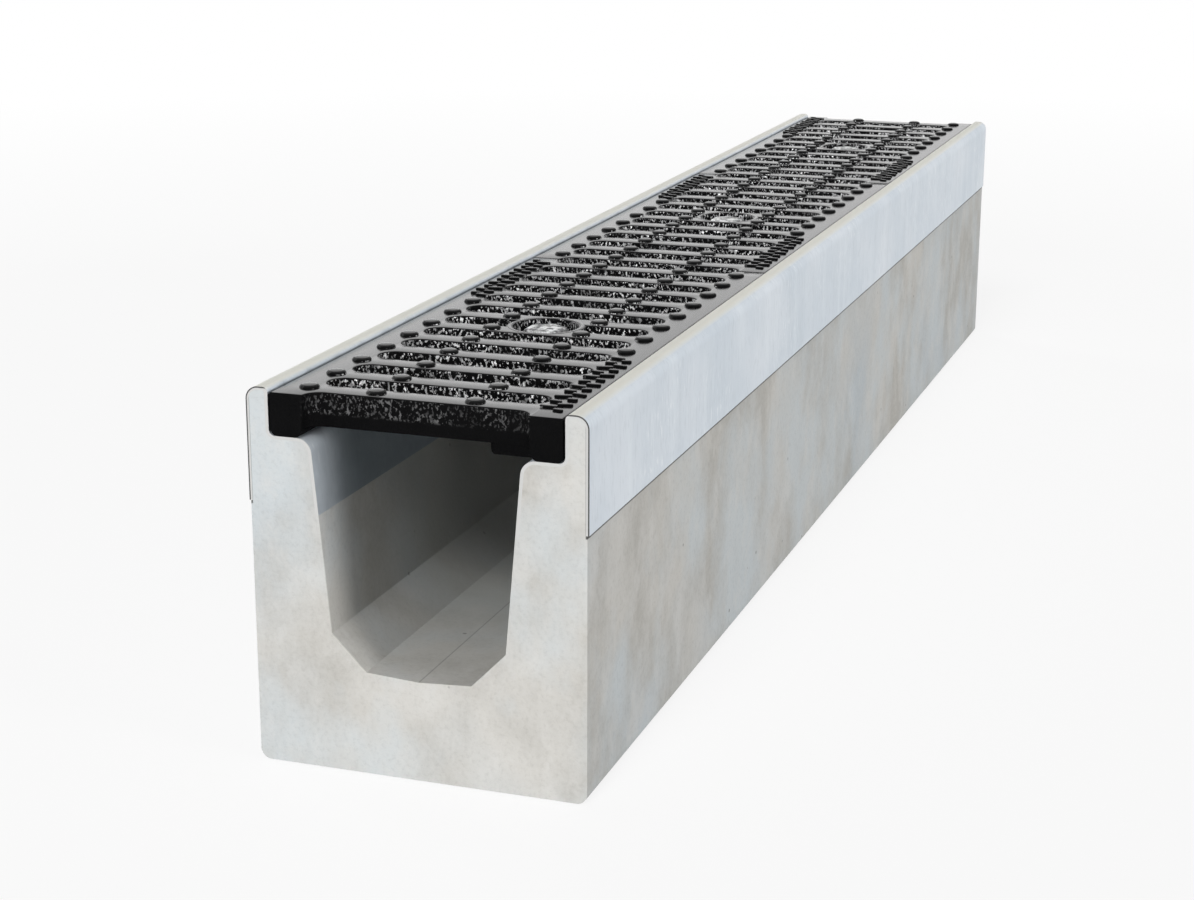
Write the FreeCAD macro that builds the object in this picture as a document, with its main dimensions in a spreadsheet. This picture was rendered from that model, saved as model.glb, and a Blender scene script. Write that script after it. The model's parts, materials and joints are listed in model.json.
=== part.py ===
import FreeCAD, Part
import math
import os
import re

import Sketcher

# A channel drain one metre long: a cast concrete trough, a folded steel rail over each of its rims, and
# three slotted iron grates, each drawn down by a bolt into a crossbar that bears in the walls.
# Millimetres. +Z is up, the length runs along Y, and the origin is the middle of the underside.

doc = FreeCAD.newDocument("ChannelDrain")

# ---------------------------------------------------------------------------------------------------
# Driving sizes
# ---------------------------------------------------------------------------------------------------

SIZES = {
    # The concrete trough
    "channel_length": 1000.0,
    "channel_width": 160.0,
    "channel_height": 178.0,  # underside to the top of the rails
    "foot_radius": 5.0,  # along the two bottom edges
    "rim_width": 10.0,  # beside the grates, without the rail's stand-out
    "seat_depth": 22.0,  # top of the rails down to the ledges that carry the grates
    "ledge_width": 20.0,
    "wall_taper": 8.0,  # how far each wall leans in from its ledge to its chamfer
    "chamfer_run": 16.5,  # across, between the wall and the bed
    "chamfer_rise": 16.9,
    "bed_fall": 1.6,  # from the bed's edges to its middle
    "bed_thickness": 47.5,  # of concrete under the middle of the bed
    # The rails
    "rail_thickness": 1.5,
    "rail_proud": 0.8,  # how far the outer leg stands out of the concrete
    "rail_outer_leg": 53.0,
    "rail_inner_leg": 57.0,  # both legs are measured down from the top
    "rim_outer_radius": 6.0,
    "rim_inner_radius": 2.5,
    "seat_radius": 3.0,
    "nose_radius": 7.0,
    # The rails' anchors, cast into the walls
    "anchors_per_rail": 4,
    "anchor_width": 20.0,
    "anchor_thickness": 3.0,
    "anchor_clearance": 0.5,  # from the flange to the bends on both sides of it
    "anchor_drop": 36.0,
    "anchor_foot": 12.0,
    # The grates
    "grate_count": 3,
    "grate_joint": 0.6,
    "grate_side_gap": 1.0,
    "grate_thickness": 20.0,  # at the feet
    "bar_depth": 16.0,
    "grate_edge_radius": 2.0,
    "foot_width": 14.6,
    "foot_corner_radius": 4.0,
    "spaces_per_grate": 12,  # slot pitches, with half a slot at each end
    "slot_width": 15.0,
    "grate_rim": 16.0,  # from the grate's side to the ends of its slots
    "boss_wall": 3.5,  # round the pocket for the bolt's head
    "boss_floor": 7.5,  # under that pocket
    "head_recess": 1.0,  # of the head's top below the bars' tops
    "head_clearance": 1.5,  # between the washer and the pocket's wall
    # Raised studs
    "stud_diameter": 8.0,
    "stud_height": 2.0,
    "stud_offset": 23.5,  # of the bars' studs from the centreline
    "rim_stud_inset": 13.0,  # of the rims' studs from the grate's side
    "bare_spaces": 4,  # bars at one end of each rim that have no rim stud
    # The bolts, washers and crossbars
    "bolt_diameter": 12.0,
    "bolt_length": 50.0,  # under the head
    "bolt_across_flats": 19.0,
    "bolt_head_height": 7.5,
    "bolt_hole_clearance": 1.5,
    "thread_clearance": 0.2,  # between the plain shank and the crossbar's bore
    "washer_diameter": 30.0,
    "washer_thickness": 2.5,
    "washer_hole_clearance": 1.0,
    "crossbar_width": 28.0,
    "crossbar_end_thickness": 8.0,
    "crossbar_depth": 27.0,  # at the belly
    "crossbar_belly": 18.0,  # length of the belly's flat underside
    "crossbar_belly_radius": 12.0,
    "crossbar_neck": 14.0,  # from each end to where the belly starts
    "crossbar_bearing": 9.0,  # how far each end reaches into its wall
    "crossbar_drop": 16.0,  # of its top below the ledges
    "pocket_side_gap": 1.0,
    "pocket_end_gap": 1.5,
    "pocket_under_gap": 6.0,
}

# Sizes worked out from the driving ones. Each formula may use any name above it.
WORKED_OUT = {
    "half_width": "channel_width / 2",
    "rail_face": "half_width + rail_proud",
    "seat_half_width": "half_width - rim_width",
    "hollow_half_width": "seat_half_width - ledge_width",
    "hollow_foot_half_width": "hollow_half_width - wall_taper",
    "bed_half_width": "hollow_foot_half_width - chamfer_run",
    "ledge_height": "channel_height - seat_depth",
    "bed_edge_height": "bed_thickness + bed_fall",
    "hollow_foot_height": "bed_edge_height + chamfer_rise",
    "wall_slope": "wall_taper / (ledge_height - hollow_foot_height)",
    "rail_lean_thickness": "rail_thickness * sqrt(1 + wall_slope ^ 2)",
    "grate_length": "(channel_length - (grate_count - 1) * grate_joint) / grate_count",
    "grate_step": "grate_length + grate_joint",
    "grate_half_width": "seat_half_width - grate_side_gap",
    "grate_top": "ledge_height + grate_thickness",
    "bar_underside": "grate_top - bar_depth",
    "slot_pitch": "grate_length / spaces_per_grate",
    "slot_half_length": "grate_half_width - grate_rim",
    "head_pocket_diameter": "washer_diameter + 2 * head_clearance",
    "head_pocket_depth": "washer_thickness + bolt_head_height + head_recess",
    "boss_diameter": "head_pocket_diameter + 2 * boss_wall",
    "boss_depth": "head_pocket_depth + boss_floor",
    "pocket_floor": "grate_top - head_pocket_depth",
    "washer_top": "pocket_floor + washer_thickness",
    "bolt_hole_diameter": "bolt_diameter + bolt_hole_clearance",
    "crossbar_top": "ledge_height - crossbar_drop",
    "crossbar_half_length": "hollow_half_width - wall_slope * crossbar_drop + crossbar_bearing",
    "wall_pocket_height": "crossbar_end_thickness + pocket_under_gap",
    "wall_pocket_width": "crossbar_width + 2 * pocket_side_gap",
    "wall_pocket_half_length": "crossbar_half_length + pocket_end_gap",
    "anchor_face": "seat_half_width - seat_radius - anchor_clearance",
    "anchor_flange_end": "hollow_half_width + nose_radius + anchor_clearance",
    "anchor_top": "ledge_height - rail_thickness",
    "anchor_spacing": "channel_length / anchors_per_rail",
}

sheet = doc.addObject("Spreadsheet::Sheet", "Sizes")
for row, (alias, number) in enumerate(SIZES.items(), start=1):
    sheet.set(f"A{row}", alias)
    sheet.set(f"B{row}", str(number))
    sheet.setAlias(f"B{row}", alias)
doc.recompute()


def formula(text):
    """Turns a formula on the plain names above into one on the sheet's cells."""

    def swap(match):
        name = match.group()
        if name in WORKED_OUT:
            return "(" + formula(WORKED_OUT[name]) + ")"
        return "Sizes." + name if name in SIZES else name

    return re.sub(r"[a-z_]+", swap, text)


def value(text):
    return float(sheet.evalExpression(formula(text)))


# There are so many round studs and slot ends that they are drawn with a few straight sides.
STUD_SIDES = 6
SLOT_END_SIDES = 8


# ---------------------------------------------------------------------------------------------------
# Sketches and features
# ---------------------------------------------------------------------------------------------------


def new_body(label, along="0"):
    """A body that is moved along the channel by a formula."""
    body = doc.addObject("PartDesign::Body", label)
    body.Label = label
    body.setExpression("Placement.Base.y", formula(along))
    return body


def new_clone(label, original, along):
    """Another piece of the same form, moved along the channel by its own formula."""
    body = new_body(label, along)
    clone = body.newObject("PartDesign::FeatureBase", label + "_clone")
    clone.BaseFeature = original
    body.Tip = clone
    return body


def origin_feature(body, role):
    return next(item for item in body.Origin.OriginFeatures if item.Role == role)


def new_sketch(body, plane, offset="0"):
    """A sketch on one of the body's own planes. XZ_Plane faces -Y, so its offsets run that way."""
    sketch = body.newObject("Sketcher::SketchObject", body.Label + "_sketch")
    sketch.AttachmentSupport = [(origin_feature(body, plane), "")]
    sketch.MapMode = "FlatFace"
    sketch.setExpression("AttachmentOffset.Base.z", formula(offset))
    return sketch


def place_point(sketch, geometry, position, x, y):
    """Ties a point of the sketch to its two formulas."""
    for axis, kind, text in ((-2, "DistanceX", x), (-1, "DistanceY", y)):
        if text == "0":
            sketch.addConstraint(Sketcher.Constraint("PointOnObject", geometry, position, axis))
            continue
        distance = Sketcher.Constraint(kind, -1, 1, geometry, position, value(text))
        index = sketch.addConstraint(distance)
        sketch.setExpression(f"Constraints[{index}]", formula(text))


def corner_arc(before, corner, after, radius):
    """The arc that rounds a corner, and whether it runs the same way as the outline."""
    back = (before - corner).normalize()
    ahead = (after - corner).normalize()
    half_angle = back.getAngle(ahead) / 2
    centre = corner + (back + ahead).normalize() * (radius / math.sin(half_angle))
    first = corner + back * (radius / math.tan(half_angle)) - centre
    last = corner + ahead * (radius / math.tan(half_angle)) - centre
    forward = first.cross(last).z > 0
    start, end = (first, last) if forward else (last, first)
    circle = Part.Circle(centre, FreeCAD.Vector(0, 0, 1), radius)
    start_angle = math.atan2(start.y, start.x)
    arc = Part.ArcOfCircle(circle, start_angle, start_angle + start.getAngle(end))
    return arc, centre + first, centre + last, forward


def draw_outline(sketch, corners):
    """A closed outline through corners (x, y) or (x, y, radius), each a formula."""
    points = [FreeCAD.Vector(value(corner[0]), value(corner[1]), 0) for corner in corners]
    arcs = {}
    arrive = list(points)
    leave = list(points)
    for i, corner in enumerate(corners):
        if len(corner) == 3:
            before, after = points[i - 1], points[(i + 1) % len(points)]
            arc, arrive[i], leave[i], forward = corner_arc(before, points[i], after, value(corner[2]))
            arcs[i] = (arc, forward)
    sides = []
    for i, start in enumerate(leave):
        side = Part.LineSegment(start, arrive[(i + 1) % len(points)])
        sides.append(sketch.addGeometry(side, False))
    for i, corner in enumerate(corners):
        side_before, side_after = sides[i - 1], sides[i]
        if i not in arcs:
            sketch.addConstraint(Sketcher.Constraint("Coincident", side_before, 2, side_after, 1))
            place_point(sketch, side_after, 1, corner[0], corner[1])
            continue
        arc, forward = arcs[i]
        arc_index = sketch.addGeometry(arc, False)
        first, last = (1, 2) if forward else (2, 1)
        sketch.addConstraint(Sketcher.Constraint("Tangent", side_before, 2, arc_index, first))
        sketch.addConstraint(Sketcher.Constraint("Tangent", arc_index, last, side_after, 1))
        radius = sketch.addConstraint(Sketcher.Constraint("Radius", arc_index, value(corner[2])))
        sketch.setExpression(f"Constraints[{radius}]", formula(corner[2]))
        point = sketch.addGeometry(Part.Point(points[i]), True)
        sketch.addConstraint(Sketcher.Constraint("PointOnObject", point, 1, side_before))
        sketch.addConstraint(Sketcher.Constraint("PointOnObject", point, 1, side_after))
        place_point(sketch, point, 1, corner[0], corner[1])


def draw_circle(sketch, x, y, diameter):
    centre = FreeCAD.Vector(value(x), value(y), 0)
    circle = Part.Circle(centre, FreeCAD.Vector(0, 0, 1), value(diameter) / 2)
    index = sketch.addGeometry(circle, False)
    place_point(sketch, index, 3, x, y)
    size = sketch.addConstraint(Sketcher.Constraint("Diameter", index, value(diameter)))
    sketch.setExpression(f"Constraints[{size}]", formula(diameter))


def draw_stud(sketch, x, y):
    """An outline with a few straight sides for a small round stud."""
    corners = []
    for corner in range(STUD_SIDES):
        angle = f"{(corner + 0.5) * 360 / STUD_SIDES} deg"
        across = f"{x} + stud_diameter / 2 * cos({angle})"
        along = f"{y} + stud_diameter / 2 * sin({angle})"
        corners.append((across, along))
    draw_outline(sketch, corners)


def draw_slot(sketch, half_length, middle, width):
    """A slot along X with round ends, from the right end to the left one."""
    radius = f"({width}) / 2"
    corners = []
    for sign in (1, -1):
        for corner in range(SLOT_END_SIDES + 1):
            angle = f"{corner * 180 / SLOT_END_SIDES - 90 * sign} deg"
            x = f"{sign} * (({half_length}) - {radius}) + {radius} * cos({angle})"
            y = f"({middle}) + {radius} * sin({angle})"
            corners.append((x, y))
    draw_outline(sketch, corners)


def mirrored(half):
    """A whole outline from its right half, listed from the bottom up and then inwards."""
    left = [("-(" + corner[0] + ")",) + corner[1:] for corner in reversed(half) if corner[0] != "0"]
    return half + left


def draw_rectangle(sketch, left, right, bottom, top):
    draw_outline(sketch, [(left, bottom), (right, bottom), (right, top), (left, top)])


def draw_hexagon(sketch, across_flats):
    """A hexagon about the origin with flats facing +X and -X."""
    flat = f"({across_flats}) / 2"
    side_corner = f"({across_flats}) / 2 / sqrt(3)"
    end_corner = f"({across_flats}) / sqrt(3)"
    draw_outline(
        sketch,
        [
            (flat, f"-({side_corner})"),
            (flat, side_corner),
            ("0", end_corner),
            (f"-({flat})", side_corner),
            (f"-({flat})", f"-({side_corner})"),
            ("0", f"-({end_corner})"),
        ],
    )


def extrude(body, kind, sketch, length, symmetric=False, reverse=False):
    """A Pad or a Pocket. A pocket runs against the sketch's normal unless it is reversed."""
    feature = body.newObject("PartDesign::" + kind, body.Label + "_" + kind.lower())
    feature.Profile = sketch
    feature.SideType = "Symmetric" if symmetric else "One side"
    feature.Reversed = reverse
    feature.setExpression("Length", formula(length))
    return feature


def repeat(body, feature, spacing, count, reverse=False):
    """Repeats a feature along the channel."""
    pattern = body.newObject("PartDesign::LinearPattern", body.Label + "_row")
    pattern.Originals = [feature]
    pattern.Direction = (origin_feature(body, "Y_Axis"), [""])
    pattern.Reversed = reverse
    pattern.Mode = "Spacing"
    pattern.setExpression("Offset", formula(spacing))
    pattern.setExpression("Occurrences", formula(count))
    body.Tip = pattern
    return pattern


# ---------------------------------------------------------------------------------------------------
# The concrete trough and its rails share the outline over the rims
# ---------------------------------------------------------------------------------------------------


def wall_face(height):
    """Half the hollow's width at a height between its foot and the ledges."""
    return f"hollow_half_width - wall_slope * (ledge_height - ({height}))"


rail_outer_end = "channel_height - rail_outer_leg"
rail_inner_end = "channel_height - rail_inner_leg"

# Where the concrete meets the rail, from the foot of its outer leg round to the foot of its inner leg.
RAIL_BACK = [
    ("rail_face - rail_thickness", rail_outer_end),
    (
        "rail_face - rail_thickness",
        "channel_height - rail_thickness",
        "rim_outer_radius - rail_thickness",
    ),
    (
        "seat_half_width + rail_thickness",
        "channel_height - rail_thickness",
        "rim_inner_radius - rail_thickness",
    ),
    ("seat_half_width + rail_thickness", "ledge_height - rail_thickness", "seat_radius + rail_thickness"),
    (
        wall_face("ledge_height - rail_thickness") + " + rail_lean_thickness",
        "ledge_height - rail_thickness",
        "nose_radius - rail_thickness",
    ),
    (wall_face(rail_inner_end) + " + rail_lean_thickness", rail_inner_end),
]

# The rail's visible face, from the foot of its inner leg back to the foot of its outer leg.
RAIL_FACE = [
    (wall_face(rail_inner_end), rail_inner_end),
    ("hollow_half_width", "ledge_height", "nose_radius"),
    ("seat_half_width", "ledge_height", "seat_radius"),
    ("seat_half_width", "channel_height", "rim_inner_radius"),
    ("rail_face", "channel_height", "rim_outer_radius"),
    ("rail_face", rail_outer_end),
]

CHANNEL_HALF = [
    ("half_width", "0", "foot_radius"),
    ("half_width", rail_outer_end),
    *RAIL_BACK,
    (wall_face(rail_inner_end), rail_inner_end),
    ("hollow_foot_half_width", "hollow_foot_height"),
    ("bed_half_width", "bed_edge_height"),
    ("0", "bed_thickness"),
]

# One anchor in section: a flange under the ledge, a leg down the wall and a foot turned inwards.
ANCHOR = [
    ("anchor_flange_end", "anchor_top"),
    ("anchor_flange_end", "anchor_top - anchor_thickness"),
    ("anchor_face - anchor_thickness", "anchor_top - anchor_thickness"),
    ("anchor_face - anchor_thickness", "anchor_top - anchor_drop + anchor_thickness"),
    ("anchor_face - anchor_foot", "anchor_top - anchor_drop + anchor_thickness"),
    ("anchor_face - anchor_foot", "anchor_top - anchor_drop"),
    ("anchor_face", "anchor_top - anchor_drop"),
    ("anchor_face", "anchor_top"),
]


def on_side(outline, side):
    """The outline itself on the right, and its mirror image on the left."""
    if side > 0:
        return outline
    return [("-(" + corner[0] + ")",) + corner[1:] for corner in reversed(outline)]


def cut_wall_pockets(body, left, right):
    """Pockets under the ledges that take the crossbars' ends, one crossbar to a grate."""
    sketch = new_sketch(body, "XZ_Plane", "grate_step * (grate_count - 1) / 2")
    draw_rectangle(sketch, left, right, "crossbar_top - wall_pocket_height", "crossbar_top")
    pocket = extrude(body, "Pocket", sketch, "wall_pocket_width", symmetric=True)
    repeat(body, pocket, "grate_step", "grate_count")


def make_channel_body():
    body = new_body("channel_body")
    section = new_sketch(body, "XZ_Plane")
    draw_outline(section, mirrored(CHANNEL_HALF))
    extrude(body, "Pad", section, "channel_length", symmetric=True)
    cut_wall_pockets(body, "-(wall_pocket_half_length)", "wall_pocket_half_length")
    for side in (1, -1):
        recess = new_sketch(body, "XZ_Plane", "anchor_spacing * (anchors_per_rail - 1) / 2")
        draw_outline(recess, on_side(ANCHOR, side))
        pocket = extrude(body, "Pocket", recess, "anchor_width", symmetric=True)
        repeat(body, pocket, "anchor_spacing", "anchors_per_rail")
    return body


def make_edge_rail(label, side):
    body = new_body(label)
    section = new_sketch(body, "XZ_Plane")
    draw_outline(section, on_side(RAIL_BACK + RAIL_FACE, side))
    extrude(body, "Pad", section, "channel_length", symmetric=True)
    if side > 0:
        cut_wall_pockets(body, "0", "wall_pocket_half_length")
    else:
        cut_wall_pockets(body, "-(wall_pocket_half_length)", "0")
    return body


def make_anchor(label, side, place):
    body = new_body(label, f"anchor_spacing * ({place} - (anchors_per_rail - 1) / 2)")
    section = new_sketch(body, "XZ_Plane")
    draw_outline(section, on_side(ANCHOR, side))
    extrude(body, "Pad", section, "anchor_width", symmetric=True)
    return body


# ---------------------------------------------------------------------------------------------------
# The grates
# ---------------------------------------------------------------------------------------------------

# Half the section of a grate: the bars' underside, and a foot along the side that rests on the ledge.
GRATE_HALF = [
    ("grate_half_width - foot_width", "bar_underside"),
    ("grate_half_width - foot_width", "ledge_height"),
    ("grate_half_width", "ledge_height", "foot_corner_radius"),
    ("grate_half_width", "grate_top", "grate_edge_radius"),
]


def cut_slots(body):
    """A row of round-ended slots. The first and the last are cut in half by the grate's ends."""
    sketch = new_sketch(body, "XY_Plane", "grate_top")
    draw_slot(sketch, "slot_half_length", "-(grate_length / 2)", "slot_width")
    slot = extrude(body, "Pocket", sketch, "grate_thickness + 1")
    repeat(body, slot, "slot_pitch", "spaces_per_grate + 1")


def add_boss(body):
    """The round boss in the middle slot, with a pocket for the bolt's head and a hole for its shank."""
    boss = new_sketch(body, "XY_Plane", "grate_top")
    draw_circle(boss, "0", "0", "boss_diameter")
    extrude(body, "Pad", boss, "boss_depth", reverse=True)
    pocket = new_sketch(body, "XY_Plane", "grate_top")
    draw_circle(pocket, "0", "0", "head_pocket_diameter")
    extrude(body, "Pocket", pocket, "head_pocket_depth")
    hole = new_sketch(body, "XY_Plane", "grate_top")
    draw_circle(hole, "0", "0", "bolt_hole_diameter")
    extrude(body, "Pocket", hole, "grate_thickness + 1")


def add_studs(body, places, bar_count):
    """Rows of low studs on the bars' centrelines, each from its place (x, first bar); bar 0 is in front."""
    sketch = new_sketch(body, "XY_Plane", "grate_top")
    for x, first_bar in places:
        draw_stud(sketch, x, f"slot_pitch * ({first_bar} + 0.5) - grate_length / 2")
    studs = extrude(body, "Pad", sketch, "stud_height")
    repeat(body, studs, "slot_pitch", bar_count)


def make_grate(label, along):
    body = new_body(label, along)
    section = new_sketch(body, "XZ_Plane")
    draw_outline(section, mirrored(GRATE_HALF))
    extrude(body, "Pad", section, "grate_length", symmetric=True)
    cut_slots(body)
    add_boss(body)
    rim_stud = "grate_half_width - rim_stud_inset"
    bar_rows = (("-(stud_offset)", "0"), ("stud_offset", "0"))
    rim_rows = ((f"-({rim_stud})", "0"), (rim_stud, "bare_spaces"))
    add_studs(body, bar_rows, "spaces_per_grate")
    add_studs(body, rim_rows, "spaces_per_grate - bare_spaces")
    return body


# ---------------------------------------------------------------------------------------------------
# Bolt, washer and crossbar of one grate
# ---------------------------------------------------------------------------------------------------


def make_bolt(label, along):
    body = new_body(label, along)
    head = new_sketch(body, "XY_Plane", "washer_top")
    draw_hexagon(head, "bolt_across_flats")
    extrude(body, "Pad", head, "bolt_head_height")
    shank = new_sketch(body, "XY_Plane", "washer_top")
    draw_circle(shank, "0", "0", "bolt_diameter")
    extrude(body, "Pad", shank, "bolt_length", reverse=True)
    return body


def make_washer(label, along):
    body = new_body(label, along)
    sketch = new_sketch(body, "XY_Plane", "pocket_floor")
    draw_circle(sketch, "0", "0", "washer_diameter")
    draw_circle(sketch, "0", "0", "bolt_diameter + washer_hole_clearance")
    extrude(body, "Pad", sketch, "washer_thickness")
    return body


def make_crossbar(label, along):
    """A cast bar with thin ends that bear in the walls and a deep belly tapped for the bolt."""
    body = new_body(label, along)
    section = new_sketch(body, "XZ_Plane")
    end_underside = "crossbar_top - crossbar_end_thickness"
    half = [
        ("crossbar_belly / 2", "crossbar_top - crossbar_depth", "crossbar_belly_radius"),
        ("crossbar_half_length - crossbar_neck", end_underside),
        ("crossbar_half_length", end_underside),
        ("crossbar_half_length", "crossbar_top"),
    ]
    draw_outline(section, mirrored(half))
    extrude(body, "Pad", section, "crossbar_width", symmetric=True)
    bore = new_sketch(body, "XY_Plane", "crossbar_top")
    draw_circle(bore, "0", "0", "bolt_diameter + thread_clearance")
    extrude(body, "Pocket", bore, "crossbar_depth + 1")
    return body


# ---------------------------------------------------------------------------------------------------
# The whole drain
# ---------------------------------------------------------------------------------------------------

pieces = [make_channel_body()]
for rail_side, rail_name in ((-1, "left"), (1, "right")):
    pieces.append(make_edge_rail(f"{rail_name}_edge_rail", rail_side))
    for place in range(int(SIZES["anchors_per_rail"])):
        pieces.append(make_anchor(f"{rail_name}_anchor_{place + 1}", rail_side, place))

grate_count = int(SIZES["grate_count"])
GRATE_NAMES = ("front", "middle", "rear")
grate_names = GRATE_NAMES if grate_count == 3 else [f"bay_{place + 1}" for place in range(grate_count)]
MAKERS = {
    "grate": make_grate,
    "bolt": make_bolt,
    "washer": make_washer,
    "crossbar": make_crossbar,
}
for kind, make in MAKERS.items():
    original = None
    for place, name in enumerate(grate_names):
        label = f"{name}_{kind}"
        position = f"grate_step * ({place} - (grate_count - 1) / 2)"
        piece = new_clone(label, original, position) if original else make(label, position)
        original = original or piece
        pieces.append(piece)

doc.recompute()

# ---------------------------------------------------------------------------------------------------
# Checks, then one file for each piece
# ---------------------------------------------------------------------------------------------------

for item in doc.Objects:
    if "Invalid" in item.State or "Error" in item.State:
        raise RuntimeError(f"{item.Label} did not recompute: {item.State}")
    if item.TypeId == "Sketcher::SketchObject" and not item.FullyConstrained:
        raise RuntimeError(f"{item.Label} is not fully constrained")
    if item.TypeId == "PartDesign::Pocket" and item.Shape.Volume >= item.BaseFeature.Shape.Volume - 1e-3:
        raise RuntimeError(f"{item.Label} cuts nothing")

os.makedirs("parts", exist_ok=True)
for piece in pieces:
    shape = piece.Shape
    if shape.isNull() or not shape.isValid() or len(shape.Solids) != 1:
        raise RuntimeError(f"{piece.Label} is not one valid solid")
    shape.exportStep(f"parts/{piece.Label}.step")
    print(f"{piece.Label}: {shape.Volume / 1000:.1f} cm3")
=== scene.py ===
# %% [markdown]
# # A channel drain, dressed
# A channel drain catches rain at the edge of a yard or a road. This one is a metre of cast
# concrete trough with a folded steel rail over each rim, and three slotted iron grates, each held
# down by one bolt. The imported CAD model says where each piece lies. This lesson keeps the trough,
# the rails and the hidden fixings as they are, and models the grates, bolts and washers again,
# with the edges and studs that catch the light.

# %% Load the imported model
import json
import math

import bmesh
import bpy
from mathutils import Matrix, Vector


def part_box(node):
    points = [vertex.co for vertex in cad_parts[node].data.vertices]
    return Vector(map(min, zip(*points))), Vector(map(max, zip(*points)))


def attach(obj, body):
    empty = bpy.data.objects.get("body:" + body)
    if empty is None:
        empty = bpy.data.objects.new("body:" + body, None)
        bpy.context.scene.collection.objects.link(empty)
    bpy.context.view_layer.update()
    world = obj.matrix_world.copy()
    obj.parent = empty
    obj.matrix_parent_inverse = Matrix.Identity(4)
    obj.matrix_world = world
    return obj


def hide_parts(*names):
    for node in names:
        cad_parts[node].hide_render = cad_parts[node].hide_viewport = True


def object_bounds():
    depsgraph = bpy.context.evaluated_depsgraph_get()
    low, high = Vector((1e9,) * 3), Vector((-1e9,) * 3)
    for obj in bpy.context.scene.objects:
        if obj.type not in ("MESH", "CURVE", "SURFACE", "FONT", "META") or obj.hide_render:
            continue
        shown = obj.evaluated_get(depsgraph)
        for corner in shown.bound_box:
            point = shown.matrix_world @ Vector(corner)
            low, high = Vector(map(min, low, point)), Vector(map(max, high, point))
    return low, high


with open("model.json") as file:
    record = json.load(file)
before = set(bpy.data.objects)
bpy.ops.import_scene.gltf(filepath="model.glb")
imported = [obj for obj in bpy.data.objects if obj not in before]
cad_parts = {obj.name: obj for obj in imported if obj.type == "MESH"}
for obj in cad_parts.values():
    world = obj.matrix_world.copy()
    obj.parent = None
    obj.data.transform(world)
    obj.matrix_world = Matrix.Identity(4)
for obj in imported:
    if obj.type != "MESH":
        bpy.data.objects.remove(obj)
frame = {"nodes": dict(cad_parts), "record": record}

cad_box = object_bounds()
scene = bpy.context.scene
MM = 0.001
half_length = cad_box[1][1]
rail_side = cad_box[1][0]
rail_top = cad_box[1][2]
print("nodes:", len(frame["nodes"]))
print("box in metres:", [list(corner) for corner in cad_box])

# %% [markdown]
# ## Camera
# The drain is seen from a little above its front end and to the right, through a fairly long
# lens. Track To constraints are the usual way to aim a camera. Here the three axes of the camera
# are written out instead, because the view has a slight roll that a constraint would take away.

# %% Place the camera
azimuth = math.radians(18.9)
elevation = math.radians(15.8)
roll = math.radians(0.15)
back = Vector((
    math.sin(azimuth) * math.cos(elevation),
    -math.cos(azimuth) * math.cos(elevation),
    math.sin(elevation),
))
level = Vector((math.cos(azimuth), math.sin(azimuth), 0))
upward = back.cross(level)
right = level * math.cos(roll) + upward * math.sin(roll)
turn = Matrix((right, back.cross(right), back)).transposed().to_4x4()

camera = bpy.data.objects.new("camera", bpy.data.cameras.new("camera"))
camera.data.sensor_width = 36
camera.data.lens = 67.8
camera.data.clip_end = 50
camera.matrix_world = Matrix.Translation((0.3800, -1.3640, 0.4222)) @ turn
scene.collection.objects.link(camera)
scene.camera = camera
print("lens in mm:", round(camera.data.lens, 1))

# %% [markdown]
# ## Material tools
# Procedural finishes need a lot of shader arithmetic, and adding and wiring each Math node by
# hand hides the idea. A small wrapper lets Python's own + - * build those nodes. Everything else
# goes through one method that takes the node's type, its settings and what its sockets get.

# %% Value: a socket that Python's operators work on
class Value:
    def __init__(self, finish, socket):
        self.finish = finish
        self.socket = socket

    def __add__(self, other):
        return self.finish.maths("ADD", self, other)

    def __radd__(self, other):
        return self.finish.maths("ADD", other, self)

    def __sub__(self, other):
        return self.finish.maths("SUBTRACT", self, other)

    def __rsub__(self, other):
        return self.finish.maths("SUBTRACT", other, self)

    def __mul__(self, other):
        return self.finish.maths("MULTIPLY", self, other)

    def __rmul__(self, other):
        return self.finish.maths("MULTIPLY", other, self)

    def __abs__(self):
        return self.finish.maths("ABSOLUTE", self)


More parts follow.
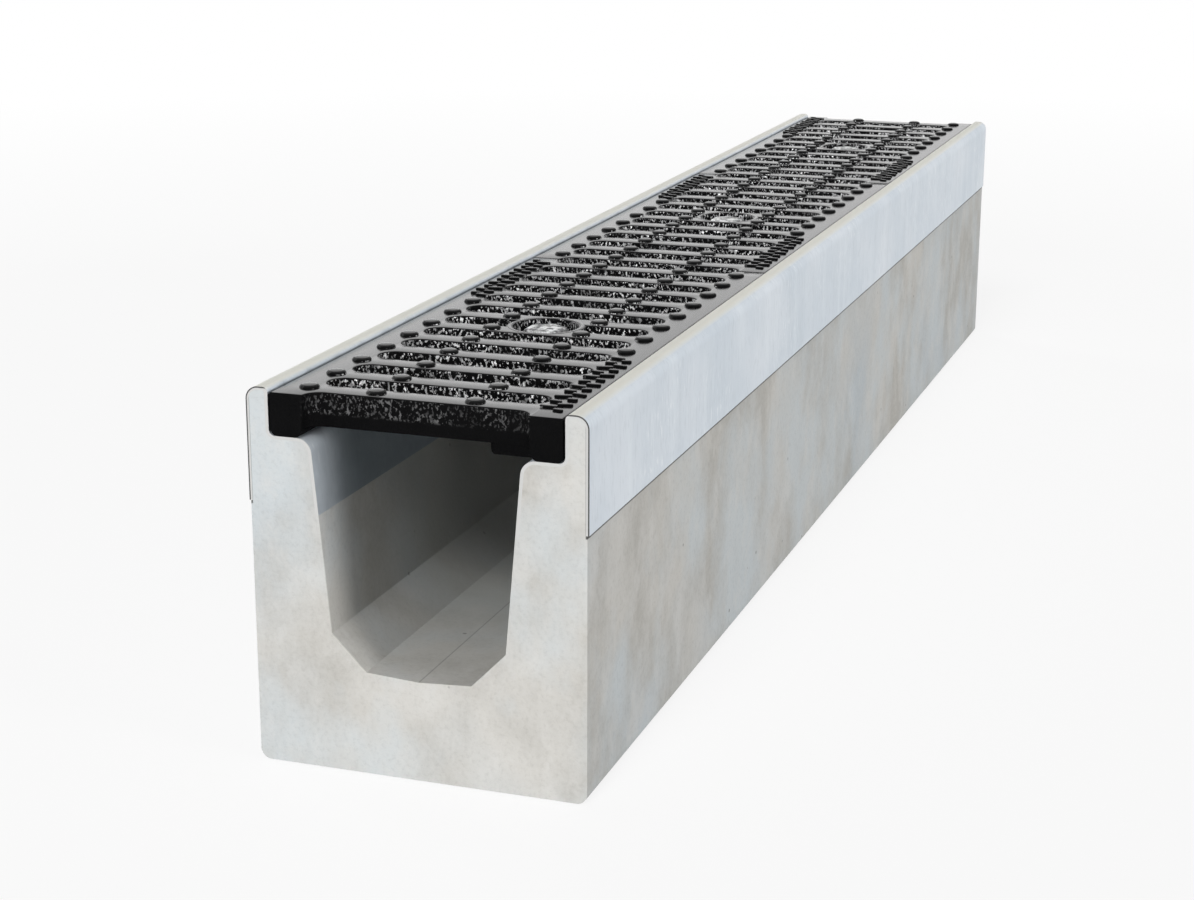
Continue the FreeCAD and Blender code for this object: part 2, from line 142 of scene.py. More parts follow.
# %% Finish: a material, or the world, and the methods that add its nodes
class Finish:
    def __init__(self, owner, shader="Principled BSDF"):
        self.owner = owner
        owner.use_nodes = True
        self.tree = owner.node_tree
        self.shader = self.tree.nodes[shader]
        self.place = self.node("ShaderNodeTexCoord", out="Object")

    def feed(self, socket, given):
        if isinstance(given, Value):
            self.tree.links.new(given.socket, socket)
        else:
            socket.default_value = given

    def node(self, kind, settings=None, inputs=None, out=0):
        """Adds a node and returns its output out, or several if out is a list of names."""
        node = self.tree.nodes.new(kind)
        for name, setting in (settings or {}).items():
            setattr(node, name, setting)
        for name, given in (inputs or {}).items():
            self.feed(node.inputs[name], given)
        if isinstance(out, list):
            return [Value(self, node.outputs[name]) for name in out]
        return Value(self, node.outputs[out])

    def set(self, **sockets):
        for name, given in sockets.items():
            self.feed(self.shader.inputs[name.replace("_", " ")], given)

    def maths(self, operation, *operands):
        return self.node("ShaderNodeMath", {"operation": operation}, dict(enumerate(operands)))

    def noise(self, scale, detail=4.0, roughness=0.5, stretch=None):
        """Cloudy noise, about 0.3 to 0.7. A stretch below 1 along an axis draws it out there."""
        place = self.place
        if stretch:
            place = self.node("ShaderNodeMapping", inputs={"Vector": place, "Scale": stretch})
        inputs = {"Vector": place, "Scale": scale, "Detail": detail, "Roughness": roughness}
        return self.node("ShaderNodeTexNoise", inputs=inputs)

    def step(self, value, low, high):
        """0 below low, 1 above high, and a straight rise between."""
        inputs = {0: value, 1: low, 2: high, 3: 0.0, 4: 1.0}
        return self.node("ShaderNodeMapRange", {"clamp": True}, inputs)

    def fall(self, value, low, high):
        """1 below low, 0 above high."""
        return 1 - self.step(value, low, high)

    def blend(self, factor, first, second):
        """From the first colour to the second as the factor goes from 0 to 1."""
        first = first if isinstance(first, Value) else (*first, 1)
        second = second if isinstance(second, Value) else (*second, 1)
        inputs = {0: factor, 6: first, 7: second}
        return self.node("ShaderNodeMix", {"data_type": "RGBA"}, inputs, out=2)

    def axes(self, vector=None):
        inputs = {0: vector or self.place}
        return self.node("ShaderNodeSeparateXYZ", inputs=inputs, out=["X", "Y", "Z"])

    def bump(self, height, distance, strength=1.0, under=None):
        inputs = {"Height": height, "Distance": distance, "Strength": strength}
        if under:
            inputs["Normal"] = under
        return self.node("ShaderNodeBump", inputs=inputs)

    def looked_at(self):
        """1 for the camera's rays and what mirrors and glass show, 0 for rays that carry light."""
        names = ["Is Camera Ray", "Is Glossy Ray", "Is Transmission Ray"]
        camera_ray, glossy_ray, through_ray = self.node("ShaderNodeLightPath", out=names)
        return self.maths("MINIMUM", camera_ray + glossy_ray + through_ray, 1.0)


def new_finish(name):
    return Finish(bpy.data.materials.new(name))


# %% [markdown]
# ## Concrete
# Cast concrete is a fine grey paste with sand, small air pores and soft patches where it dried
# unevenly. A single noise looks like cloud, so several scales are mixed: a slow drift from cool to
# warm grey, brown and bluish patches of a few centimetres, smaller pale bloom, sand of a millimetre
# or two, and a few dark pores from a Voronoi pattern. The patches are a little taller than they are
# wide, as damp dries from a standing face.

# %% Mix the concrete
concrete = new_finish("cast_concrete")
drift = concrete.noise(7.0, detail=3.0)
brown = concrete.noise(19.0, detail=5.0, roughness=0.6, stretch=(1, 1, 0.75))
bluish = concrete.noise(13.0, detail=4.0, roughness=0.55, stretch=(1, 0.8, 0.65))
bloom = concrete.noise(52.0, detail=5.0, roughness=0.65, stretch=(1, 1, 0.7))
sand = concrete.noise(420.0, detail=4.0, roughness=0.75)
cells = concrete.node("ShaderNodeTexVoronoi", inputs={"Vector": concrete.place, "Scale": 60.0})
pores = concrete.fall(cells, 0.045, 0.075) * concrete.step(concrete.noise(24.0), 0.53, 0.57)

cool = (0.540, 0.582, 0.605)
warm = (0.630, 0.615, 0.580)
paste = concrete.blend(concrete.step(drift, 0.38, 0.62), cool, warm)
paste = concrete.blend(0.75 * concrete.step(brown, 0.44, 0.62), paste, (0.470, 0.455, 0.420))
paste = concrete.blend(0.80 * concrete.step(bluish, 0.48, 0.62), paste, (0.615, 0.660, 0.680))
paste = concrete.blend(0.40 * concrete.step(bloom, 0.50, 0.66), paste, (0.715, 0.705, 0.680))
paste = concrete.blend(0.22 * concrete.step(sand, 0.45, 0.70), paste, (0.72, 0.72, 0.70))
paste = concrete.blend(0.20 * concrete.fall(sand, 0.30, 0.48), paste, (0.30, 0.295, 0.28))
paste = concrete.blend(0.70 * pores, paste, (0.13, 0.125, 0.12))
print("concrete nodes so far:", len(concrete.tree.nodes))

# %% [markdown]
# ## Painted shade on the concrete
# Three marks paint shade into the concrete's colour: a darkening in the hollow, strongest deep
# inside and thinning out towards the open ends, a dark hairline along the lowest line of the bed,
# where its shallow crease shades, and a dark line under the lower edge of each rail, a painted
# shadow of the gap there. Each mark is a mask made from the Object coordinates, so it stays in its
# place whatever the view.

# %% Painted shade: hollow, bed hairline and under the rails
body_x, body_y, body_z = concrete.axes()
hollow_side = 51.5 * MM
under_bed = 40 * MM
bed_edge = 50 * MM
inside_ends = concrete.fall(abs(body_y), half_length - 1.0 * MM, half_length - 0.5 * MM)
inside_walls = concrete.fall(abs(body_x), hollow_side, hollow_side + 0.5 * MM)
hollow = inside_ends * inside_walls * concrete.step(body_z, under_bed, under_bed + 1 * MM)
deep, mouth = 0.385, 0.492
# Painted shade: the whole hollow is a little darker, most deep inside and less towards the open
# ends.
painted_hollow_shade = hollow * (0.10 + 0.62 * concrete.fall(abs(body_y), deep, mouth))
paste = concrete.blend(painted_hollow_shade, paste, (0.285, 0.285, 0.262))
on_bed = concrete.fall(body_z, bed_edge, bed_edge + 2 * MM)
# Painted shade: a dark hairline along the bed's lowest line, where its shallow crease shades.
painted_crease_shade = on_bed * concrete.fall(abs(body_x), 0.2 * MM, 0.5 * MM)
paste = concrete.blend(0.40 * hollow * painted_crease_shade, paste, (0.10, 0.10, 0.09))

rail_edge = rail_top - 53 * MM
under_rail = concrete.step(body_z, rail_edge - 1.7 * MM, rail_edge - 1.2 * MM)
on_side = concrete.step(abs(body_x), rail_side - 1.8 * MM, rail_side - 1.4 * MM)
# Painted shadow: a near-black line on the concrete just under each rail's lower edge.
paste = concrete.blend(0.9 * under_rail * on_side, paste, (0.03, 0.03, 0.03))
concrete.set(Base_Color=paste, Roughness=0.86 + 0.1 * sand)
concrete.set(Normal=concrete.bump(sand - 1.5 * pores, 0.0004, 0.35))
print("rails end at this height in mm:", round(rail_edge / MM, 1))

# %% [markdown]
# ## Galvanised rails
# Zinc freezes on the sheet in pale flat crystals, so the rail is bright, bluish and a little
# patchy. The crystals are Voronoi cells, each with its own small shift of grey. Upright streaks
# come from noise that is ten times as tall as it is wide, and scratches from finer noise three
# times as tall.

# %% Galvanise the rails
rail_steel = new_finish("galvanised_rail")
cell_inputs = {"Vector": rail_steel.place, "Scale": 260.0}
crystals = rail_steel.node("ShaderNodeTexVoronoi", inputs=cell_inputs, out="Color")
tone = rail_steel.node("ShaderNodeSeparateColor", inputs={0: crystals})
cloud = rail_steel.noise(12.0)
streaks = rail_steel.noise(75.0, roughness=0.6, stretch=(1, 1, 0.10))
scratches = rail_steel.noise(420.0, detail=3.0, roughness=0.6, stretch=(1, 1, 0.3))
scratched = rail_steel.step(rail_steel.noise(14.0), 0.45, 0.60)
flecks = rail_steel.step(scratches, 0.58, 0.70) * scratched

blue_zinc = (0.595, 0.655, 0.715)
pale_zinc = (0.69, 0.735, 0.785)
zinc = rail_steel.blend(rail_steel.step(cloud, 0.35, 0.65), blue_zinc, pale_zinc)
zinc = rail_steel.blend(0.15 * tone, zinc, (0.80, 0.84, 0.87))
zinc = rail_steel.blend(0.30 * rail_steel.step(streaks, 0.52, 0.75), zinc, (0.82, 0.87, 0.90))
zinc = rail_steel.blend(0.25 * rail_steel.fall(streaks, 0.28, 0.46), zinc, (0.52, 0.575, 0.62))
zinc = rail_steel.blend(0.55 * flecks, zinc, (0.90, 0.93, 0.95))
zinc = rail_steel.blend(0.20 * rail_steel.fall(scratches, 0.34, 0.46), zinc, (0.44, 0.49, 0.53))
print("rail nodes so far:", len(rail_steel.tree.nodes))

# %% [markdown]
# ## Painted light and shade on the rails, and cement on their ends
# The crown of each rail gets a pale cream band, a painted highlight along its rounded top. The
# narrow gap beside the grates is painted near black as shade, and the leg in the hollow is painted
# darker except near the ends, also as shade. The sawn ends are smeared with cement, all but a
# thin dark line along the outside, which is the edge of the sheet. That line has to follow the
# rail's bend, so it is measured as a distance from the bend's centre.

# %% Painted highlight on the crown, painted shade in the gap and on the inner leg
rail_x, rail_y, rail_z = rail_steel.axes()
bend_radius = 6.0 * MM
bend_x = rail_side - bend_radius
bend_z = rail_top - bend_radius
crown = rail_steel.step(rail_z, bend_z + 4.6 * MM, bend_z + 5.9 * MM)
# Painted highlight: a pale cream band along the rail's rounded crown.
zinc = rail_steel.blend(0.85 * crown, zinc, (0.90, 0.885, 0.79))

ledge = 156 * MM
seat_side = 70.5 * MM
below_crown = rail_steel.fall(rail_z, rail_top - 3.4 * MM, rail_top - 2.8 * MM)
above_ledge = rail_steel.step(rail_z, ledge + 1 * MM, ledge + 2 * MM)
beside_grate = rail_steel.fall(abs(rail_x), seat_side, seat_side + 0.4 * MM)
in_gap = below_crown * above_ledge * beside_grate
# Painted shade: the narrow gap beside the grates is made near black.
zinc = rail_steel.blend(0.95 * in_gap, zinc, (0.015, 0.015, 0.015))

nose_side = 55.5 * MM
under_nose = rail_steel.fall(abs(rail_x), nose_side, nose_side + 2 * MM)
inner_leg = under_nose * rail_steel.fall(abs(rail_y), 0.455, 0.505)
# Painted shade: the inner leg in the hollow is darkened, except near the ends.
zinc = rail_steel.blend(0.78 * inner_leg, zinc, (0.14, 0.175, 0.20))
print("bend of the rail in mm:", bend_radius / MM, "ledge in mm:", ledge / MM)

# %% Sawn ends
end_face = rail_steel.step(abs(rail_y), half_length - 0.3 * MM, half_length - 0.15 * MM)
past_x = rail_steel.maths("MAXIMUM", abs(rail_x) - bend_x, 0.0)
past_z = rail_steel.maths("MAXIMUM", rail_z - bend_z, 0.0)
from_bend = rail_steel.maths("SQRT", past_x * past_x + past_z * past_z)
sawn_line = rail_steel.step(from_bend, bend_radius - 0.7 * MM, bend_radius - 0.5 * MM)
smear = rail_steel.blend(sawn_line, (0.61, 0.61, 0.60), (0.06, 0.06, 0.06))
rail_steel.set(Base_Color=rail_steel.blend(end_face, zinc, smear))
# The crown's painted highlight band is kept free of metal.
rail_steel.set(Metallic=0.45 * (1 - end_face) * (1 - crown))
rail_steel.set(Roughness=0.50 + 0.12 * tone + 0.3 * end_face)
rail_steel.set(Normal=rail_steel.bump(0.5 * tone + flecks + streaks, 0.0003, 0.3))
print("rail nodes:", len(rail_steel.tree.nodes))

# %% [markdown]
# ## Zinc-coated fixings
# Bolts and washers are dipped in zinc too, but small parts come out lumpy and mottled. Two noises
# are enough here: one for the lumps, which are also the bump, and a finer one for bright specks.

# %% Coat the fixings
fixing_steel = new_finish("galvanised_fixing")
lumps = fixing_steel.noise(260.0, roughness=0.6)
mottle = fixing_steel.noise(900.0, detail=3.0)
dull = (0.10, 0.10, 0.105)
bright = (0.90, 0.91, 0.91)
coat = fixing_steel.blend(fixing_steel.step(lumps, 0.44, 0.56), dull, bright)
coat = fixing_steel.blend(0.5 * fixing_steel.step(mottle, 0.5, 0.7), coat, (0.95, 0.95, 0.94))
fixing_steel.set(Base_Color=coat, Metallic=0.35, Roughness=0.36 + 0.2 * mottle)
fixing_steel.set(Normal=fixing_steel.bump(lumps + 0.5 * mottle, 0.0012, 0.8))
print("fixing nodes:", len(fixing_steel.tree.nodes))

# %% [markdown]
# ## Dipped iron
# The grates are rough castings dipped in black paint. On top the paint has run smooth and mirrors
# the white around it at a low angle, so the bars look grey although they are black. On the upright
# walls it follows the sand-cast skin, and the glints there are painted in. Two materials would leave
# a seam on every rounded edge. So one paint is used, and the way a face points decides what it does:
# the upward part of the normal adds a clear coat on level faces, and on walls small metallic grains
# get a near-white colour, a painted glint that is partly a real reflection, as the grains are
# metallic.

# %% Which way each face points
coated_iron = new_finish("dipped_iron")
facing = coated_iron.node("ShaderNodeNewGeometry", out="True Normal")
upward_part = coated_iron.axes(facing)[2]
level_face = coated_iron.step(upward_part, 0.80, 0.97)
wall = coated_iron.fall(abs(upward_part), 0.30, 0.45)
print("iron nodes so far:", len(coated_iron.tree.nodes))

# %% Painted glints: only on the upper part of the bars, and fewer on the outermost ones
iron_x, iron_y, iron_z = coated_iron.axes()
glints = coated_iron.noise(800.0, detail=3.0, roughness=0.6, stretch=(1, 1, 0.65))
patches = coated_iron.step(coated_iron.noise(75.0, detail=2.0), 0.36, 0.58)
shimmer = coated_iron.step(coated_iron.noise(450.0, detail=1.0), 0.38, 0.62)

foot_side = 52.5 * MM
outer_bar = half_length - 12.5 * MM
glint_bottom = 165.5
upper_part = coated_iron.step(iron_z, glint_bottom * MM, (glint_bottom + 1.5) * MM)
off_feet = coated_iron.fall(abs(iron_x), foot_side, foot_side + 2 * MM)
calmer = 1 - 0.86 * coated_iron.step(abs(iron_y), outer_bar, outer_bar + 1 * MM)
# Painted glints: near-white metallic specks on the walls, partly a painted highlight and partly a
# real reflection.
painted_glints = coated_iron.step(glints, 0.546, 0.570) * wall * upper_part * off_feet * calmer
painted_glints = painted_glints * (0.25 + 0.75 * patches) * (0.40 + 0.60 * shimmer)
print("glints start this high in mm:", glint_bottom)

# %% Dip the iron
skin = coated_iron.noise(520.0, detail=5.0, roughness=0.75)
runs = coated_iron.noise(90.0, detail=3.0)
black = coated_iron.blend(runs, (0.001, 0.001, 0.0012), (0.004, 0.004, 0.0043))
# Painted glints: the base colour goes near white where the glints are.
black = coated_iron.blend(painted_glints, black, (0.97, 0.97, 0.98))
coated_iron.set(Base_Color=black, Metallic=0.8 * painted_glints, Roughness=0.30 + 0.15 * skin)
coated_iron.set(Specular_IOR_Level=0.03)
coated_iron.set(Coat_Weight=level_face, Coat_Roughness=0.16, Coat_IOR=2.0)
ripple = coated_iron.bump(runs, 0.0010, 0.25)
rough_skin = coated_iron.bump(skin * (1 - 0.9 * level_face), 0.0012, 0.8, under=ripple)
coated_iron.set(Normal=rough_skin)
print("iron nodes:", len(coated_iron.tree.nodes))

# %% [markdown]
# ## Who wears what
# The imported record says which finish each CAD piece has, so one loop dresses them all. Pieces that
# are modelled again below get the same finish there.

# %% Give the CAD pieces their finishes
finishes = {
    "concrete": concrete,
    "rail_steel": rail_steel,
    "fixing_steel": fixing_steel,
    "coated_iron": coated_iron,
}
for row in frame["record"]["subparts"]:
    node = frame["nodes"][row["node"]]
    node.data.materials.clear()
    node.data.materials.append(finishes[row["material_slot"]].owner)

# %% [markdown]
# ## Shaping tools
# Most of what follows is either turned or flat. Turned pieces start from a half outline that is
# spun round an upright axis. Each finished piece keeps its object at the origin and carries its
# place in its mesh, as the CAD nodes do.

# %% turned(): spin a half outline round an upright axis
def turned(bm, outline, steps, x=0.0, y=0.0):
    """Spins (radius, height) points in millimetres about the upright axis through x, y."""
    corners = [bm.verts.new((x + radius * MM, y, height * MM)) for radius, height in outline]
    edges = [bm.edges.new(pair) for pair in zip(corners, corners[1:])]
    bmesh.ops.spin(
        bm, geom=corners + edges, cent=(x, y, 0), axis=(0, 0, 1), dvec=(0, 0, 0),
        angle=math.tau, steps=steps, use_merge=True, use_duplicate=False,
    )


# %% as_object() and finish_piece(): from a bmesh to an object that rides with the drain
def as_object(bm, name):
    mesh = bpy.data.meshes.new(name)
    bm.to_mesh(mesh)
    bm.free()
    thing = bpy.data.objects.new(name, mesh)
    scene.collection.objects.link(thing)
    return thing


def finish_piece(bm, name, finish, replaced, sharp=35):
    bmesh.ops.remove_doubles(bm, verts=bm.verts, dist=1e-6)
    bmesh.ops.recalc_face_normals(bm, faces=bm.faces)
    piece = as_object(bm, name)
    for polygon in piece.data.polygons:
        polygon.use_smooth = True
    piece.data.set_sharp_from_angle(angle=math.radians(sharp))
    piece.data.materials.append(finish.owner)
    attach(piece, "root")
    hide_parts(replaced)
    print(name, "has", len(piece.data.polygons), "faces")


# %% bevelled(): round some edges
def bevelled(bm, edges, offset, segments):
    bmesh.ops.bevel(
        bm, geom=edges, offset=offset * MM, offset_type="OFFSET", affect="EDGES",
        segments=segments, profile=0.5, material=-1, clamp_overlap=True,
    )


def close_to(a, b):
    return abs(a - b) < 0.001 * MM


# %% [markdown]
# ## A grate
# A grate is a ladder: two rims joined by bars, with a foot under each rim. Cutting slots out of a
# plate with booleans works, but leaves long thin faces that round badly. Growing the ladder from
# one rung is cleaner. A quarter of a rung is drawn, its slot corner is spun, the quarter is
# mirrored twice, and the rung is repeated and merged. The real grate is cast in a sand mould, so
# its slots widen downwards and its edges are rounded.

# %% Sizes of a grate, in millimetres
grate_low, grate_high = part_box("front_grate")
length = (grate_high[1] - grate_low[1]) / MM
half_width = (grate_high[0] - grate_low[0]) / 2 / MM
rungs = 12
pitch = length / rungs
slot_radius = 7.5
rim = 16.0  # from the grate's side to the ends of its slots
top = 176.0
underside = 160.0  # of the bars
foot_bottom = grate_low[2] / MM
foot_inner = half_width - 14.6
print("grate length and pitch in mm:", round(length, 2), round(pitch, 2))


# %% rung(): one bar with its share of both rims
def rung():
    bm = bmesh.new()
    slot_end = half_width - rim
    centre = slot_end - slot_radius
    half_pitch = pitch / 2
    start = bm.verts.new((slot_end * MM, half_pitch * MM, top * MM))
    bmesh.ops.spin(
        bm, geom=[start], cent=(centre * MM, half_pitch * MM, 0), axis=(0, 0, 1), dvec=(0, 0, 0),
        angle=-math.pi / 2, steps=8, use_merge=False, use_duplicate=False,
    )
    bm.verts.ensure_lookup_table()
    last = bm.verts[-1]
    others = [(0, half_pitch - slot_radius), (0, 0), (half_width, 0), (half_width, half_pitch)]
    corners = [bm.verts.new((x * MM, y * MM, top * MM)) for x, y in others]
    for pair in zip([last] + corners, corners + [start]):
        bm.edges.new(pair)
    bmesh.ops.contextual_create(bm, geom=bm.edges[:])
    for axis in ("X", "Y"):
        quarter = bm.verts[:] + bm.edges[:] + bm.faces[:]
        bmesh.ops.mirror(bm, geom=quarter, axis=axis, merge_dist=1e-6)
    bmesh.ops.remove_doubles(bm, verts=bm.verts, dist=1e-6)
    bmesh.ops.dissolve_limit(bm, angle_limit=0.01, verts=bm.verts[:], edges=bm.edges[:])
    wall = bmesh.ops.extrude_face_region(bm, geom=bm.faces[:])["geom"]
    moved = [item for item in wall if isinstance(item, bmesh.types.BMVert)]
    bmesh.ops.translate(bm, verts=moved, vec=(0, 0, (underside - top) * MM))
    return bm


bm = rung()
print("one rung:", len(bm.verts), "corners,", len(bm.faces), "faces")
bm.free()


# %% ladder(): rungs in a row, merged into one casting
def ladder():
    bm = rung()
    seam = pitch / 2 * MM
    walls = [f for f in bm.faces if all(close_to(abs(v.co.y), seam) for v in f.verts)]
    bmesh.ops.delete(bm, geom=walls, context="FACES")
    first = bm.verts[:] + bm.edges[:] + bm.faces[:]
    for place in range(1, rungs):
        copy = bmesh.ops.duplicate(bm, geom=first)["geom"]
        verts = [item for item in copy if isinstance(item, bmesh.types.BMVert)]
        bmesh.ops.translate(bm, verts=verts, vec=(0, place * pitch * MM, 0))
    bmesh.ops.translate(bm, verts=bm.verts, vec=(0, -(rungs - 1) / 2 * pitch * MM, 0))
    bmesh.ops.remove_doubles(bm, verts=bm.verts, dist=1e-6)
    return bm


# %% Draft: castings leave the mould because their walls lean
def lean_slots(bm, lean):
    """Widens every slot towards the underside."""
    straight = (half_width - rim - slot_radius) * MM
    for vert in bm.verts:
        if not close_to(vert.co.z, underside * MM):
            continue
        slot = round((vert.co.y / MM + length / 2) / pitch) * pitch - length / 2
        middle = Vector((max(-straight, min(straight, vert.co.x)), slot * MM))
        away = vert.co.xy - middle
        if away.length < (slot_radius + 0.01) * MM:
            vert.co.xy += away.normalized() * lean * MM


# %% Feet: the rims reach lower than the bars
def add_feet(bm):
    for side in (-1, 1):
        bmesh.ops.bisect_plane(
            bm, geom=bm.verts[:] + bm.edges[:] + bm.faces[:],
            plane_co=(side * foot_inner * MM, 0, 0), plane_no=(1, 0, 0), dist=1e-7,
        )
    soles = [
        f for f in bm.faces
        if all(close_to(v.co.z, underside * MM) for v in f.verts)
        and abs(f.calc_center_median().x) > foot_inner * MM
    ]
    grown = bmesh.ops.extrude_face_region(bm, geom=soles)["geom"]
    bmesh.ops.delete(bm, geom=soles, context="FACES")
    verts = [item for item in grown if isinstance(item, bmesh.types.BMVert)]
    bmesh.ops.translate(bm, verts=verts, vec=(0, 0, (foot_bottom - underside) * MM))
    open_edges = [e for e in bm.edges if e.is_boundary]
    bmesh.ops.holes_fill(bm, edges=open_edges, sides=0)
    bmesh.ops.recalc_face_normals(bm, faces=bm.faces)


# %% Round the edges of the top and of the feet
def sharp_edges(bm, wanted):
    """The wanted edges between two faces that meet at more than half a radian."""
    inner = [e for e in bm.edges if len(e.link_faces) == 2]
    return [e for e in inner if e.calc_face_angle(0) > 0.5 and wanted(e)]


def at_height(edge, height):
    return all(close_to(v.co.z, height * MM) for v in edge.verts)


def on_sole(edge):
    return at_height(edge, foot_bottom) and abs(edge.verts[0].co.y - edge.verts[1].co.y) > 1 * MM


grate = ladder()
lean_slots(grate, 1.0)
add_feet(grate)
bevelled(grate, sharp_edges(grate, on_sole), 3.0, 4)
bevelled(grate, sharp_edges(grate, lambda edge: at_height(edge, top)), 1.1, 3)
open_edges = [e for e in grate.edges if e.is_boundary]
print("ladder:", len(grate.verts), "corners,", len(open_edges), "open edges")

# %% [markdown]
# ## The bolt's pocket
# The middle slot is interrupted by a round boss with a pocket for the bolt's head. It is a turned
# ring whose top stands a hair above the bars, so it can overlap them without flicker. First the
# bars' ends inside the ring are cut off with a boolean, which is the right tool for one round cut
# through two bars at once.

# %% cut(): one shape less another
def cut(bm, cutter_bm):
    body = as_object(bm, "body_before_cut")
    cutter = as_object(cutter_bm, "cutter")
    modifier = body.modifiers.new("cut", "BOOLEAN")
    modifier.operation = "DIFFERENCE"
    modifier.solver = "EXACT"
    modifier.object = cutter
    bpy.context.view_layer.update()
    evaluated = body.evaluated_get(bpy.context.evaluated_depsgraph_get())
    mesh = bpy.data.meshes.new_from_object(evaluated)
    result = bmesh.new()
    result.from_mesh(mesh)
    for thing in (body, cutter):
        old = thing.data
        bpy.data.objects.remove(thing)
        bpy.data.meshes.remove(old)
    bpy.data.meshes.remove(mesh)
    return result


drill_radius = 18.2  # inside the boss's wall
drill = bmesh.new()
bmesh.ops.create_cone(
    drill, cap_ends=True, segments=64,
    radius1=drill_radius * MM, radius2=drill_radius * MM, depth=40 * MM,
    matrix=Matrix.Translation((0, 0, (top + underside) / 2 * MM)),
)
grate = cut(grate, drill)
print("after the cut:", len(grate.verts), "corners")

# %% Set in the boss
boss_radius = 20.0
pocket_radius = 16.5
pocket_floor = 165.0
boss_bottom = 157.5
hole_radius = 6.75
boss_outline = [
    (hole_radius, boss_bottom),
    (boss_radius - 1.5, boss_bottom),
    (boss_radius, boss_bottom + 1.5),
    (boss_radius, top - 1.1),
    (boss_radius - 0.3, top - 0.2),
    (boss_radius - 1.0, top + 0.15),
    (pocket_radius + 1.0, top + 0.15),
    (pocket_radius + 0.3, top - 0.2),
    (pocket_radius, top - 1.1),
    (pocket_radius - 0.4, pocket_floor + 1.5),
    (pocket_radius - 1.9, pocket_floor),
    (hole_radius, pocket_floor),
    (hole_radius, boss_bottom),
]
turned(grate, boss_outline, 56)
print("with its boss:", len(grate.verts), "corners")

# %% [markdown]
# ## Studs and tread ribs
# Low domes on the bars and rims keep shoes and tyres from sliding. A third of each rim has short
# raised ribs in place of the domes, in two staggered rows and turned a little this way and that.
# All of them sink into the casting, so they need no boolean. The ribs are closed blocks. The domes
# are left open underneath, where the casting hides the opening.

# %% Domes
stud_radius = 4.6
stud_height = 2.0
rim_stud = half_width - 13.0
bar_stud = 23.5
bare = 4  # rungs at one end of each rim that have ribs in place of a dome
dome = [
    (stud_radius, top - 0.5),
    (stud_radius, top + 0.35),
    (stud_radius - 0.35, top + 0.95),
    (stud_radius - 1.15, top + 1.5),
    (stud_radius - 2.4, top + stud_height - 0.12),
    (0.0, top + stud_height),
]
for bar in range(rungs):
    middle = (bar + 0.5) * pitch - length / 2
    places = [-bar_stud, bar_stud]
    if bar < rungs - bare:
        places.append(-rim_stud)
    if bar >= bare:
        places.append(rim_stud)
    for x in places:
        turned(grate, dome, 14, x * MM, middle * MM)
print("with domes:", len(grate.faces), "faces")


# %% block(): a cube with a size, a place and a turn
def block(bm, size, place, degrees=0.0):
    matrix = Matrix.Translation(Vector(place) * MM)
    matrix = matrix @ Matrix.Rotation(math.radians(degrees), 4, "Z")
    matrix = matrix @ Matrix.Diagonal((*(Vector(size) * MM), 1))
    box = bmesh.ops.create_cube(bm, size=1, matrix=matrix)
    return list({e for v in box["verts"] for e in v.link_edges})


# %% Ribs, in two staggered rows
ribs = 22
rib_pitch = 4.7
first_rib = 11
inner_row, outer_row = 12.3, 6.3
for side in (-1, 1):
    for place in range(ribs):
        from_edge = inner_row if place % 2 else outer_row
        rib_length = 4.8 + 1.1 * (place * 7 % 4)
        y = side * (first_rib + place * rib_pitch - length / 2)
        middle = (side * (half_width - from_edge), y, top + 0.15)
        edges = block(grate, (rib_length, 2.0, 2.2), middle, 12 * (place % 3 - 1))
        bevelled(grate, edges, 0.7, 2)
print("with ribs:", len(grate.faces), "faces")

# %% [markdown]
# ## Webs
# Under the outermost bar a thick web runs from the foot a little way in and stiffens the corner.
# It is drawn at two opposite corners, so that a grate is the same when it is turned half round. A
# block that sinks into the bar and the foot is enough, with its free end rounded. It reaches
# 1.2 mm below the soles, so its end also sinks into the rail's rounded nose, where a real web would
# be clear of the rail.

# %% Webs under the outermost bars
for side in (-1, 1):
    edges = block(grate, (26, 11, 7.4), (side * 44.5, side * (14.5 - length / 2), 158.5))
    inner = [e for e in edges if all(abs(v.co.x) < 34 * MM for v in e.verts)]
    bevelled(grate, inner, 3.2, 4)
print("with webs:", len(grate.faces), "faces")

# %% Lay three grates on the rails
for name in ("front", "middle", "rear"):
    low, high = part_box(f"{name}_grate")
    copy = grate.copy()
    bmesh.ops.translate(copy, verts=copy.verts, vec=(0, (low[1] + high[1]) / 2, 0))
    piece_name = f"{name}_slotted_grate"
    finish_piece(copy, piece_name, coated_iron, f"{name}_grate", sharp=40)
grate.free()

# %% [markdown]
# ## Bolts and washers
# A hexagon head is a six-sided prism with its top edges eased, made as a cone with two equal
# radii. The shank and the washer are turned. The shank starts inside the head, so that the two
# closed shapes overlap and no gap shows.

# %% Bolts
head_bottom = 167.5
head_top = 175.0
head_radius = 19 / math.sqrt(3)
for name in ("front", "middle", "rear"):
    low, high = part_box(f"{name}_bolt")
    y = (low[1] + high[1]) / 2
    end = low[2] / MM
    bolt = bmesh.new()
    bmesh.ops.create_cone(
        bolt, cap_ends=True, segments=6,
        radius1=head_radius * MM, radius2=head_radius * MM, depth=(head_top - head_bottom) * MM,
        matrix=Matrix.Translation((0, y, (head_top + head_bottom) / 2 * MM)),
    )
    bevelled(bolt, sharp_edges(bolt, lambda edge: at_height(edge, head_top)), 1.0, 2)
    shank = [(0, head_bottom + 1), (6, head_bottom + 1), (6, end + 1), (5, end), (0, end)]
    turned(bolt, shank, 24, 0, y)
    finish_piece(bolt, f"{name}_hexagon_bolt", fixing_steel, f"{name}_bolt")

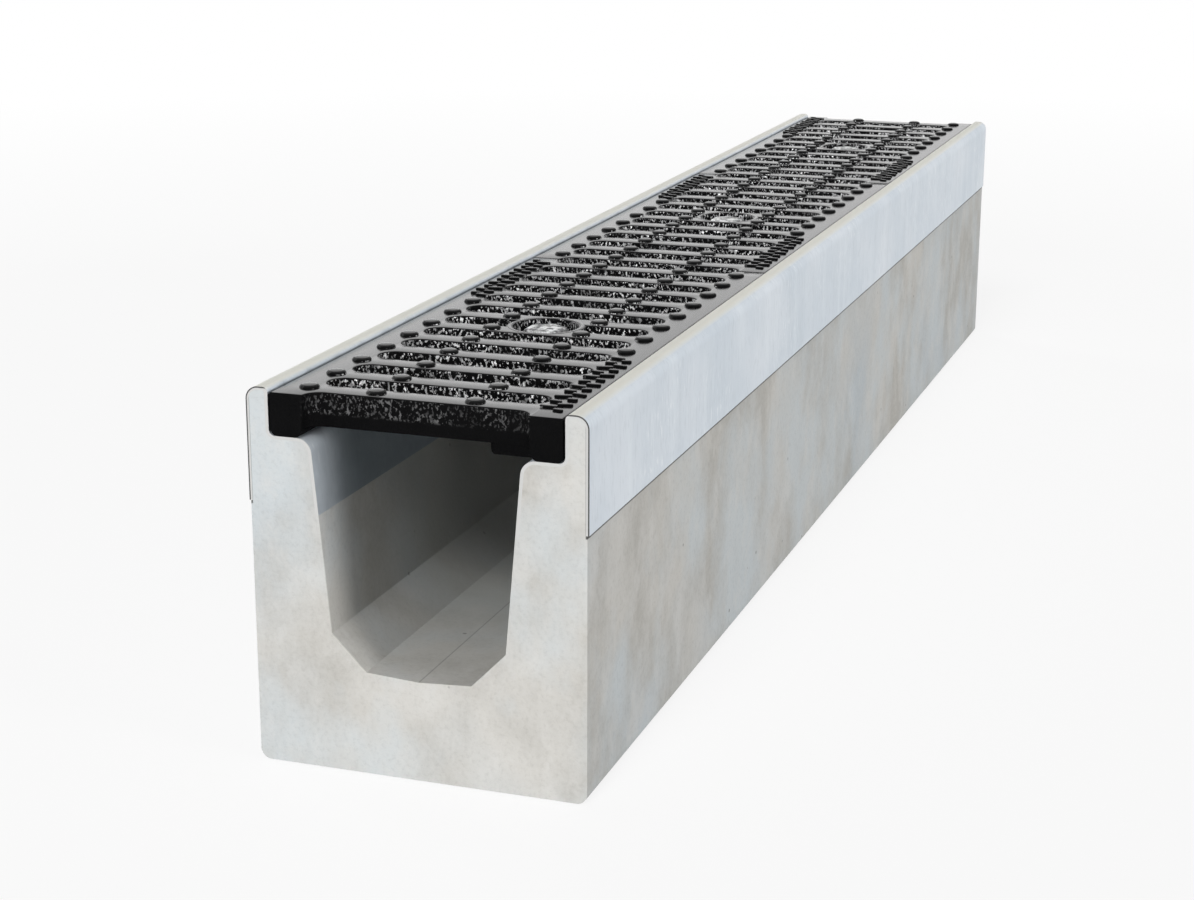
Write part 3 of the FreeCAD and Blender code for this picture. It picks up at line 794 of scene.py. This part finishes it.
# %% Washers
ring = [(6.5, 165), (15, 165), (15, 167.2), (14.7, 167.5), (6.5, 167.5), (6.5, 165)]
for name in ("front", "middle", "rear"):
    low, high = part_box(f"{name}_washer")
    washer = bmesh.new()
    turned(washer, ring, 40, 0, (low[1] + high[1]) / 2)
    finish_piece(washer, f"{name}_plain_washer", fixing_steel, f"{name}_washer")

# %% [markdown]
# ## Floor, world and lamps
# The floor is pale. Rays that only carry light meet a middling grey, so that the floor doesn't
# fill the hollow with light. Rays that are looked along meet a nearly white floor that still takes
# the drain's shadow, and further out it fades to the white of the world, so no horizon shows. Four
# soft far lamps light the drain: two from the front, and a low one at each side. All four shine
# from less than 45 degrees up, so that the bars keep their light from striping the hollow.

# %% Floor
floor_bm = bmesh.new()
bmesh.ops.create_grid(floor_bm, x_segments=1, y_segments=1, size=6)
floor = as_object(floor_bm, "floor")
floor.location.z = cad_box[0][2] - 0.0005
paper = new_finish("pale_floor")
paper.set(Base_Color=(0.40, 0.40, 0.40, 1), Roughness=0.9, Specular_IOR_Level=0.0)
floor.data.materials.append(paper.owner)
white = paper.node("ShaderNodeEmission", inputs={"Color": (1, 1, 1, 1), "Strength": 1.0})
chalk = paper.node("ShaderNodeBsdfDiffuse", inputs={"Color": (0.95, 0.95, 0.95, 1)})
length_of = {"operation": "LENGTH"}
distance = paper.node("ShaderNodeVectorMath", length_of, {0: paper.place}, out="Value")
glow = 0.86 + 0.14 * paper.step(distance, 0.9, 2.2)
shown = paper.node("ShaderNodeMixShader", inputs={0: glow, 1: chalk, 2: white})
plain = Value(paper, paper.shader.outputs[0])
surface = paper.node("ShaderNodeMixShader", inputs={0: paper.looked_at(), 1: plain, 2: shown})
paper.feed(paper.tree.nodes["Material Output"].inputs["Surface"], surface)
print("floor height in mm:", round(floor.location.z / MM, 2))

# %% World
studio = Finish(bpy.data.worlds.new("studio"), "Background")
studio.set(Color=(1, 1, 1, 1), Strength=0.20 + 0.80 * studio.looked_at())
scene.world = studio.owner
print("world nodes:", len(studio.tree.nodes))


# %% Lamps
def soft_sun(name, towards_light, level, spread):
    """A far lamp. A white face turned straight to it would be shown at that level."""
    light = bpy.data.lights.new(name, "SUN")
    light.energy = level * math.pi
    light.angle = math.radians(spread)
    lamp = bpy.data.objects.new(name, light)
    lamp.rotation_euler = Vector(towards_light).to_track_quat("Z", "Y").to_euler()
    scene.collection.objects.link(lamp)


soft_sun("front_low", (-0.08, -0.985, 0.15), 0.46, 24)
soft_sun("front_above", (0.0, -0.80, 0.60), 0.42, 16)
soft_sun("right_side", (0.97, -0.15, 0.11), 0.52, 20)
soft_sun("left_side", (-0.89, 0.42, 0.15), 0.44, 20)
scene.view_settings.view_transform = "Standard"
